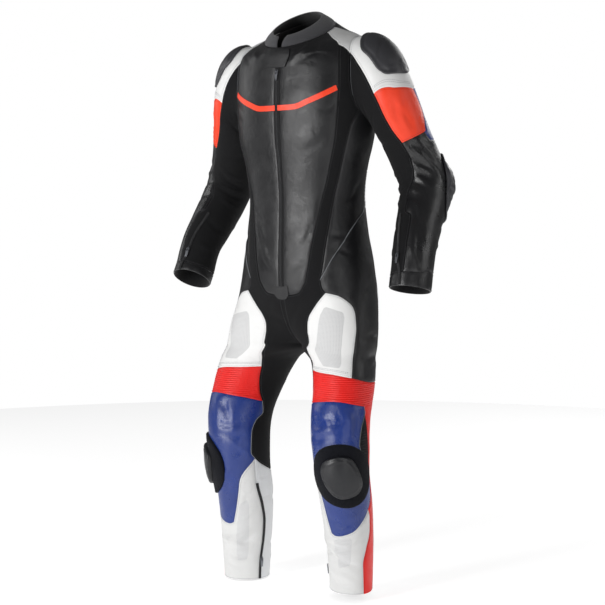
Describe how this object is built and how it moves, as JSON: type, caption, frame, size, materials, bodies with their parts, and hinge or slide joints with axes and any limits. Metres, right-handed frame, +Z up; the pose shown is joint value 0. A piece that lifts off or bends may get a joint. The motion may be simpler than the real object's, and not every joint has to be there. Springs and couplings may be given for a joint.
{
  "type": "motorcycle race suit",
  "caption": "One-piece leather race suit standing in its worn form, with hollow body, sleeves and legs, hard shoulder, elbow and knee guards and zips with turning pull tabs.",
  "frame": {"origin": "on the middle plane at the foot of the collar, level with the top of the shoulders, where the wearer's shoulders hold the suit up", "axes": "+Z up along the body, +X towards the wearer's left, -Y to the suit's front"},
  "size_m": [0.7462, 0.3097, 1.4236],
  "materials": {
    "black_leather": "satin",
    "stretch_cloth": "matte",
    "white_leather": "satin",
    "red_leather": "satin",
    "orange_leather": "satin",
    "blue_leather": "satin",
    "hard_shell": "satin",
    "zip_tape": "matte",
    "zip_metal": "satin"
  },
  "bodies": {
    "suit": {"front_left": "black_leather", "hip_left": "black_leather", "seat_left": "black_leather", "forearm_left": "black_leather", "cuff_left": "black_leather", "side_left": "stretch_cloth", "sleeve_stretch_left": "stretch_cloth", "knee_side_left": "stretch_cloth", "thigh_left": "white_leather", "shin_left": "white_leather", "calf_left": "white_leather", "shoulder_left": "white_leather", "knee_band_left": "red_leather", "upper_arm_left": "orange_leather", "chest_stripe_left": "orange_leather", "knee_left": "blue_leather", "back_arm_left": "blue_leather", "shoulder_cup_left": "hard_shell", "elbow_cup_left": "hard_shell", "knee_pad_left": "hard_shell", "knee_puck_left": "hard_shell", "cuff_zip_left": "zip_tape", "calf_zip_left": "zip_tape", "front_right": "black_leather", "hip_right": "black_leather", "seat_right": "black_leather", "forearm_right": "black_leather", "cuff_right": "black_leather", "side_right": "stretch_cloth", "sleeve_stretch_right": "stretch_cloth", "knee_side_right": "stretch_cloth", "thigh_right": "white_leather", "shin_right": "white_leather", "calf_right": "white_leather", "shoulder_right": "white_leather", "knee_band_right": "red_leather", "upper_arm_right": "orange_leather", "chest_stripe_right": "orange_leather", "knee_right": "blue_leather", "back_arm_right": "blue_leather", "shoulder_cup_right": "hard_shell", "elbow_cup_right": "hard_shell", "knee_pad_right": "hard_shell", "knee_puck_right": "hard_shell", "cuff_zip_right": "zip_tape", "calf_zip_right": "zip_tape", "back": "black_leather", "collar": "black_leather", "storm_flap": "black_leather", "waist_stretch": "stretch_cloth", "front_stretch": "stretch_cloth", "front_zip": "zip_tape"},
    "front_pull_tab": {"front_pull": "zip_metal"},
    "cuff_pull_left_tab": {"cuff_pull_left": "zip_metal"},
    "calf_pull_left_tab": {"calf_pull_left": "zip_metal"},
    "cuff_pull_right_tab": {"cuff_pull_right": "zip_metal"},
    "calf_pull_right_tab": {"calf_pull_right": "zip_metal"}
  },
  "joints": [
    {"name": "front_pull_turn", "type": "hinge", "parent": "suit", "child": "front_pull_tab", "pos_m": [0, -0.1259, -0.10399], "axis": [-1, -0.0009, 0.0001], "range_deg": [0, 90]},
    {"name": "cuff_pull_left_turn", "type": "hinge", "parent": "suit", "child": "cuff_pull_left_tab", "pos_m": [0.30458, -0.06843, -0.53769], "axis": [-0.9683, 0.1734, -0.1799], "range_deg": [0, 90]},
    {"name": "calf_pull_left_turn", "type": "hinge", "parent": "suit", "child": "calf_pull_left_tab", "pos_m": [0.10182, -0.05369, -1.29809], "axis": [-0.2784, 0.9599, 0.0333], "range_deg": [0, 90]},
    {"name": "cuff_pull_right_turn", "type": "hinge", "parent": "suit", "child": "cuff_pull_right_tab", "pos_m": [-0.31738, -0.08464, -0.53079], "axis": [-0.9785, -0.1698, 0.1169], "range_deg": [0, 90]},
    {"name": "calf_pull_right_turn", "type": "hinge", "parent": "suit", "child": "calf_pull_right_tab", "pos_m": [-0.10182, -0.05369, -1.31286], "axis": [-0.2783, -0.9599, -0.0326], "range_deg": [0, 90]}
  ]
}
